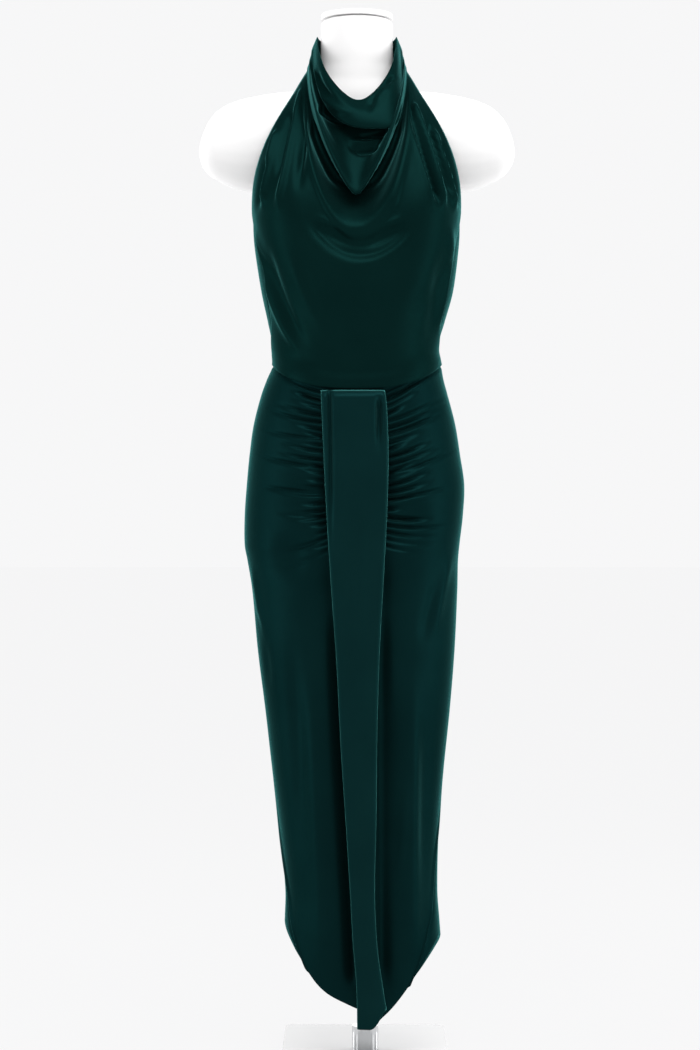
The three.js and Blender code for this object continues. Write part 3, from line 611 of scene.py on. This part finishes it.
# The many short gathers beside the drape; the sizes of each one are drawn from these
ruching = {
    "top": 952,
    "bottom": 736,
    "start": 33,
    "spacing": 9.8,
    "depth": 8.5,
    "width": 3.1,
    "reaches": [46, 58, 70, 86, 106],
    "bow": 0.05,
    "endFade": 0.75,
    "fullFrom": 790,
    "weakFrom": 726,
    "weakest": 0.35,
    "draws": {-1: 11, 1: 23},
}
# How steeply a pinch climbs outwards from the drape's edge, in degrees, by its height
leftClimb = curveThrough([738, 789, 817, 848, 889, 930, 955], [-16, -5, 4, 10, 9, 17, 24])
rightClimb = curveThrough([738, 765, 800, 833, 895, 944, 955], [-12, -4, 8, 22, 22, 34, 36])
longPinch = {
    "width": 3.0,
    "depth": 4.8,
    "bow": 4,
    "ridgeBelow": (6, 5),  # at the drape and at the outer end
    "ridgeWidth": 4.5,
    "ridgeHeight": 1.8,
}
# The long pinches that run out over the hip: height at the drape, and where they end (x, z)
longPinches = {
    -1: [(940, -96, 962), (889, -141, 905), (848, -148, 869), (817, -144, 825), (783, -118, 786)],
    1: [(946, 122, 994), (940, 78, 965), (895, 128, 931), (835, 146, 878), (804, 140, 826), (781, 112, 778)],
}


def ruchesOf(side):
    rows = []
    shuffle = np.random.default_rng(ruching["draws"][side])
    climb = leftClimb if side < 0 else rightClimb
    x0 = side * ruching["start"]
    z = ruching["top"]
    while z > ruching["bottom"]:
        slope = math.radians(float(climb(z)) + shuffle.uniform(-3, 3))
        reach = shuffle.choice(ruching["reaches"]) * shuffle.uniform(0.9, 1.1)
        fullness = float(smoothStep(ruching["weakFrom"], ruching["fullFrom"], z))
        strength = lerp(ruching["weakest"], 1, fullness)
        depth = ruching["depth"] * shuffle.uniform(0.75, 1.15) * strength
        width = ruching["width"] * shuffle.uniform(0.85, 1.15)
        x1 = x0 + side * reach * math.cos(slope)
        z1 = z + reach * math.sin(slope)
        bow = -ruching["bow"] * side * reach
        rows.append((x0, z, x1, z1, width, -depth, bow, 1, 0, ruching["endFade"]))
        z -= ruching["spacing"] * shuffle.uniform(0.86, 1.16)
    bow = -longPinch["bow"] * side
    below0, below1 = longPinch["ridgeBelow"]
    for z, x1, z1 in longPinches[side]:
        rows.append((x0, z, x1, z1, longPinch["width"], -longPinch["depth"], bow, 2, 0, 0.5))
        ridge = (longPinch["ridgeWidth"], longPinch["ridgeHeight"], bow, 1, 0.2, 0.5)
        rows.append((x0, z - below0, x1, z1 - below1, *ridge))
    return rows


leftRuches = ruchesOf(-1)
rightRuches = ruchesOf(1)
# Folds of the front; the first ones are the shaded valleys on both sides of the drape
skirtFolds = [
    (-40, 930, -38, 640, 18, -8.0, 0, 1, 0.4, 0.2),
    (40, 930, 38, 640, 18, -8.0, 0, 1, 0.4, 0.2),
    (-88, 766, -94, 680, 24, -8.0, 0, 1, 0.4, 0.5),
    (70, 818, 72, 740, 20, -6.0, 0, 1, 0.4, 0.5),
    (-38, 720, -3, 110, 13, -15.0, 0, 1, 0.3, 0.05),
    (-66, 600, -48, 130, 14, 6.0, 2, 1, 0.4, 0.2),
    (38, 740, 40, 90, 13, -15.0, -1, 1, 0.3, 0.1),
    (52, 600, 54, 200, 10, -4.0, 0, 1, 0.3, 0.3),
    (78, 600, 76, 130, 14, 7.0, 0, 1, 0.4, 0.2),
    (66, 420, 60, 260, 4, 2.0, 2, 1, 0.4, 0.4),
    (138, 740, 108, 600, 8, 4.0, -4, 1, 0.3, 0.4),
    (124, 700, 92, 590, 9, -3.0, -4, 1, 0.3, 0.4),
    (-152, 715, -128, 540, 5, 3.0, 3, 1, 0.2, 0.5),
    (-144, 650, -124, 520, 5, -2.4, 3, 1, 0.2, 0.5),
    (-96, 640, -80, 260, 12, -3.5, 4, 1, 0.4, 0.4),
    (100, 520, 94, 230, 12, -3.5, 0, 1, 0.4, 0.4),
]
# The seam under the drape stands up in a soft pleat
middlePleat = [(-4, 700, 14, 110, 8, 9.0, 0, 1, 0.3, 0.05)]
# Folds of the back: drag lines under the waist and soft falls to the hem
skirtBackFolds = [
    (-104, 968, -20, 944, 9, 2.2, -6, 1, 0.3, 0.5),
    (98, 962, 26, 936, 10, 2.4, -6, 1, 0.3, 0.5),
    (-92, 716, 30, 700, 12, -2.4, -8, 1, 0.4, 0.4),
    (96, 700, -8, 676, 11, 2.0, -7, 1, 0.4, 0.4),
    (-44, 620, -36, 190, 16, 4.0, 4, 1, 0.4, 0.05),
    (-6, 640, -2, 190, 15, -5.0, -3, 1, 0.4, 0.05),
    (38, 600, 34, 190, 15, 4.5, 3, 1, 0.4, 0.05),
    (74, 560, 70, 190, 13, -3.0, 2, 1, 0.4, 0.05),
    (-78, 540, -72, 190, 12, -3.0, 2, 1, 0.4, 0.05),
]


def skirtLift(x, z, facing):
    ruches = np.where(x < 0, creaseLift(leftRuches, x, z), creaseLift(rightRuches, x, z))
    return ruches + creaseLift(skirtFolds, x, z) * smoothStep(0, foldsFrom, facing)


def skirtSurface(angle, down):
    top = waistSeamZ(angle) + skirt["seamAllowance"]
    z = lerp(top, hemZ(angle), down)
    x, y, z = figurePoint(angle, z)
    facing = np.cos(np.radians(angle))
    backLift = creaseLift(skirtBackFolds, x, z) * smoothStep(0, foldsFrom, -facing)
    lift = np.where(facing > 0, skirtLift(x, z, facing) + creaseLift(middlePleat, x, z), backLift)
    lift = lift * smoothStep(0, skirt["drawnIn"][0], down)
    lift = lift - skirt["seamInset"] * smoothStep(*skirt["drawnIn"], down)
    return x + np.sin(np.radians(angle)) * lift, y - facing * lift, z


def skirtRow(t):
    share = skirt["ruchedShare"]
    return np.where(t < 0.5, t / 0.5 * share, lerp(share, 1, (t - 0.5) / 0.5))


# The side seam of the skirt, in degrees from the front: straight, then curving forward to the hem
rightSeam = curveThrough(
    [0, 0.70, 0.78, 0.854, 0.934, 0.959, 0.976, 0.993, 1],
    [90, 90, 87, 73, 63, 54, 47, 39, 35],
)
leftSeam = curveThrough(
    [0, 0.80, 0.87, 0.932, 0.967, 0.99, 1],
    [90, 90, 84, 71, 62, 50, 42],
)


def skirtFrontSurface(side):
    def surface(u, v):
        down = skirtRow(v)
        inner = lerp(*skirt["middleSeam"], down)
        outer = rightSeam(down) if side > 0 else -leftSeam(down)
        across = u if side > 0 else 1 - u
        angle = lerp(inner, outer, across)
        x, y, z = skirtSurface(angle, down)
        proud = skirt["edgeProud"] * smoothStep(*skirt["proudFrom"], down)
        proud = proud * smoothStep(*skirt["proudWidth"], across)
        proud = proud * lerp(1, skirt["edgeSeated"], smoothStep(*skirt["edgeTurn"], across))
        return x + np.sin(np.radians(angle)) * proud, y - np.cos(np.radians(angle)) * proud, z

    return surface


for side, name, node in (
    (-1, "skirtFrontLeft", "skirt_front_left"),
    (1, "skirtFrontRight", "skirt_front_right"),
):
    skirtFront = makeSheet(name, skirtFrontSurface(side), 90, 420, skirt)
    dressPiece(skirtFront, skirtClothPaintedLighter, "jersey", node)


def skirtBackSurface(u, v):
    down = skirtRow(v)
    curved = smoothStep(*skirtBackCut["lapFrom"], down)
    lap = skirtBackCut["lapDegrees"] * curved
    angle = lerp(rightSeam(down) - lap, 360 - leftSeam(down) + lap, u)
    angle = np.where(angle > 180, angle - 360, angle)
    x, y, z = skirtSurface(angle, down)
    nearSeam = smoothStep(*skirtBackCut["lapWidth"], np.minimum(u, 1 - u))
    inset = skirtBackCut["lapInset"] * curved * nearSeam
    facing = np.cos(np.radians(angle))
    return x - np.sin(np.radians(angle)) * inset, y + facing * inset, z


skirtBack = makeSheet("skirtBack", skirtBackSurface, 110, 150, skirtBackCut)
dressPiece(skirtBack, skirtClothPaintedLighter, "jersey", "skirt_back")
print("skirt made")

# The drape down the middle of the skirt, with both long edges rolled under
drape = {
    "flat": (0.13, 0.93),
    "area": 0.085,
    "thickness": 1.2,
    "belowSeam": 1.4,
    "standOff": 12.5,
    "seated": 3,
    "leastStandOff": 1.8,
    # The rolls: their turn and depth at the waist seam, and once they are open
    "topDepth": 0.8,
    "topTurn": 30,
    "turn": 180,
    "rollFrom": 0.62,
    "opens": (-0.004, 0.011),
    "bow": 2.4,
    "bowed": 0.3,
    "foldsEnd": (0.6, 0.2),
    # The slanting end
    "footZ": 60,
    "tipZ": 57,
    "tipLeft": 4,
    "tipRight": 19,
    "leftRise": 8,
    "rightZ": 88,
}
drapeEdge = curvesOf(
    ("z", "left", "right"),
    [
        (958, -51, 39),
        (930, -50, 42),
        (866, -47, 44),
        (785, -43, 42),
        (689, -37, 37),
        (573, -29, 31),
        (455, -23, 28),
        (348, -16, 27),
        (253, -10, 25),
        (180, -6, 28),
        (118, -1, 36),
        (60, 0, 46),
    ],
)
drapeFolds = [
    (-39, 962, -37, 700, 3.2, -7.0, 1, 1, 0, 0.7),
    (31, 958, 30, 860, 4.2, -9.0, 0, 1, 0.3, 0.6),
    (6, 800, 2, 560, 9, 1.5, 1, 1, 0.3, 0.4),
    (-14, 900, -10, 600, 10, -1.2, 1, 1, 0.3, 0.4),
]


def drapeSurface(u, v):
    t = u * 2 - 1
    size = np.abs(t)
    left, right = drapeEdge["left"], drapeEdge["right"]
    footLeft, footRight = left(drape["footZ"]), right(drape["footZ"])
    hemX = lerp(footLeft, footRight, u)
    lowZ = lerp(drape["tipZ"], drape["rightZ"], smoothStep(drape["tipRight"], footRight, hemX))
    lowZ = lowZ + drape["leftRise"] * (1 - smoothStep(0, drape["tipLeft"], hemX))
    z = lerp(waistSeamZ(0) - drape["belowSeam"], lowZ, v)
    middle = (left(z) + right(z)) / 2
    half = (right(z) - left(z)) / 2
    opened = smoothStep(*drape["opens"], v)
    depth = lerp(drape["topDepth"], drape["standOff"] - drape["seated"], opened)
    turn = np.radians(lerp(drape["topTurn"], drape["turn"], opened))
    radius = depth / (1 - np.cos(turn))
    flatHalf = half - radius * np.sin(np.minimum(turn, math.pi / 2))
    rolled = turn * np.clip((size - drape["rollFrom"]) / (1 - drape["rollFrom"]), 0, 1)
    flatShare = np.minimum(1, size / drape["rollFrom"])
    x = middle + np.sign(t) * (flatHalf * flatShare + radius * np.sin(rolled))
    angle = angleAt(x, z)
    ground = figurePoint(angle, z)[1]
    facing = np.cos(np.radians(angle))
    lift = np.maximum(0, creaseLift(skirtFolds, x, z) * smoothStep(0, foldsFrom, facing) * facing)
    standOff = drape["seated"] + depth - radius * (1 - np.cos(rolled))
    standOff = standOff + drape["bow"] * smoothStep(0, drape["bowed"], v) * np.cos(flatShare * math.pi / 2)
    standOff = standOff + creaseLift(drapeFolds, x, z) * smoothStep(*drape["foldsEnd"], rolled) * opened
    return x, ground - np.maximum(standOff, drape["leastStandOff"]) - lift, z


frontDrape = makeSheet("frontDrape", drapeSurface, 90, 300, drape)
dressPiece(frontDrape, drapeClothPaintedLighter, "jersey", "front_drape")
print("drape hung")

# Covered buttons on the lap of the neck band: balls with a flat back, pressed to a low dome
button = {"radius": 5.5, "backCut": 1.5, "flatness": 0.62}
for name, node in (("neckButtonUpper", "neck_button_upper"), ("neckButtonLower", "neck_button_lower")):
    low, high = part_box(node)
    centre = [(a + b) / 2 for a, b in zip(low, high)]
    bpy.ops.mesh.primitive_uv_sphere_add(segments=40, ring_count=20, radius=button["radius"] * millimetre)
    covered = bpy.context.object
    covered.name = name
    for vertex in covered.data.vertices:
        vertex.co.y = max(vertex.co.y, -button["backCut"] * millimetre) * button["flatness"]
    lowY = min(v.co.y for v in covered.data.vertices)
    for vertex in covered.data.vertices:
        vertex.co.x += centre[0]
        vertex.co.y += low[1] - lowY
        vertex.co.z += centre[2]
    bpy.ops.object.shade_smooth()
    covered.select_set(False)
    dressPiece(covered, bodiceCloth, "covered_button", node)
print("buttons made")

# The display form: the frame's own torso with an even, smoothed skin
formShape = {"voxel": 0.0032, "smoothing": 14}
form = bpy.data.objects.new("displayForm", bpy.data.objects["display_form"].data.copy())
bpy.context.collection.objects.link(form)
bpy.context.view_layer.objects.active = form
form.select_set(True)
bpy.ops.object.mode_set(mode="EDIT")
bpy.ops.mesh.select_all(action="SELECT")
bpy.ops.mesh.remove_doubles(threshold=0.00001)
bpy.ops.object.mode_set(mode="OBJECT")
remesh = form.modifiers.new("even skin", "REMESH")
remesh.mode = "VOXEL"
remesh.voxel_size = formShape["voxel"]
bpy.ops.object.modifier_apply(modifier="even skin")
smooth = form.modifiers.new("smooth skin", "SMOOTH")
smooth.factor = 0.5
smooth.iterations = formShape["smoothing"]
bpy.ops.object.modifier_apply(modifier="smooth skin")
bpy.ops.object.shade_smooth()
form.select_set(False)
form.data.materials.clear()
dressPiece(form, formWhite, "form", "display_form")
print("display form made")

# The frame's hard pieces keep their shape and get their finish
for node, material in (
    ("neck_cap", formWhite),
    ("form_plate", poleSteel),
    ("pole", poleSteel),
    ("base_socket", poleSteel),
    ("base_plate", baseGrey),
):
    held = bpy.data.objects[node]
    held.data.materials.clear()
    held.data.materials.append(material)

# Camera, light and floor
view = {"place": (-0.022, -3.45, 0.768), "lens": 81.5}
cameraData = bpy.data.cameras.new("camera")
cameraData.lens = view["lens"]
cameraData.sensor_width = 36
camera = bpy.data.objects.new("camera", cameraData)
camera.location = view["place"]
camera.rotation_euler = (math.pi / 2, 0, 0)
bpy.context.collection.objects.link(camera)
bpy.context.scene.camera = camera


def softbox(name, place, aim, size, power):
    data = bpy.data.lights.new(name, "AREA")
    data.shape = "RECTANGLE"
    data.size, data.size_y = size
    data.energy = power
    lamp = bpy.data.objects.new(name, data)
    lamp.location = place
    direction = np.array(aim) - np.array(place)
    lamp.rotation_euler = Vector(direction).to_track_quat("-Z", "Y").to_euler()
    bpy.context.collection.objects.link(lamp)


# name, place, aim and size in metres, power in watts
for lamp in (
    ("topSoftbox", (0.3, -1.3, 3.0), (0, 0, 0.9), (2.4, 1.4), 46),
    ("leftSoftbox", (-2.2, -0.6, 0.7), (0, 0, 0.4), (0.8, 1.8), 11),
    ("rightSoftbox", (2.2, -0.6, 0.8), (0, 0, 0.6), (0.8, 2.0), 13),
    ("leftRimSoftbox", (-1.9, 1.2, 0.9), (0, 0, 0.7), (0.9, 2.2), 28),
    ("rightRimSoftbox", (1.9, 1.2, 0.9), (0, 0, 0.7), (0.9, 2.2), 31),
):
    softbox(*lamp)

# A white studio: bright behind the form, and dim on the side from which the photo is taken
room = {"front": 0.55, "behind": 1.6, "dimming": (-0.1, 0.9), "backdrop": (0.93, 0.93, 0.935, 1)}
world = bpy.data.worlds.new("studio")
bpy.context.scene.world = world
world.use_nodes = True
worldNodes = world.node_tree.nodes
worldLinks = world.node_tree.links
background = worldNodes["Background"]
background.inputs["Color"].default_value = (1, 1, 1, 1)
direction = worldNodes.new("ShaderNodeTexCoord")
parts = worldNodes.new("ShaderNodeSeparateXYZ")
depth = worldNodes.new("ShaderNodeMapRange")
depth.interpolation_type = "SMOOTHSTEP"
depth.inputs["From Min"].default_value = room["dimming"][0]
depth.inputs["From Max"].default_value = room["dimming"][1]
depth.inputs["To Min"].default_value = room["front"]
depth.inputs["To Max"].default_value = room["behind"]
worldLinks.new(direction.outputs["Generated"], parts.inputs["Vector"])
worldLinks.new(parts.outputs["Y"], depth.inputs["Value"])
worldLinks.new(depth.outputs["Result"], background.inputs["Strength"])
backdrop = worldNodes.new("ShaderNodeBackground")
backdrop.inputs["Color"].default_value = room["backdrop"]
backdrop.inputs["Strength"].default_value = 1
rays = worldNodes.new("ShaderNodeLightPath")
mixed = worldNodes.new("ShaderNodeMixShader")
worldLinks.new(rays.outputs["Is Camera Ray"], mixed.inputs["Fac"])
worldLinks.new(background.outputs["Background"], mixed.inputs[1])
worldLinks.new(backdrop.outputs["Background"], mixed.inputs[2])
worldLinks.new(mixed.outputs["Shader"], worldNodes["World Output"].inputs["Surface"])

# A pale floor, as bright as the backdrop behind it
floorTone = {"colour": (0.03, 0.03, 0.03, 1), "glow": (0.89, 0.89, 0.895, 1), "roughness": 0.9}
bpy.ops.mesh.primitive_plane_add(size=80, location=(0, 0, -0.0005))
floor = bpy.context.object
floor.name = "floor"
floorMaterial, _, _, floorShader = newMaterial("pale floor")
floorShader.inputs["Base Color"].default_value = floorTone["colour"]
floorShader.inputs["Emission Color"].default_value = floorTone["glow"]
floorShader.inputs["Emission Strength"].default_value = 1
floorShader.inputs["Roughness"].default_value = floorTone["roughness"]
floorShader.inputs["Specular IOR Level"].default_value = 0
floor.data.materials.append(floorMaterial)

bpy.context.scene.view_settings.view_transform = "Standard"

print("camera and light set")
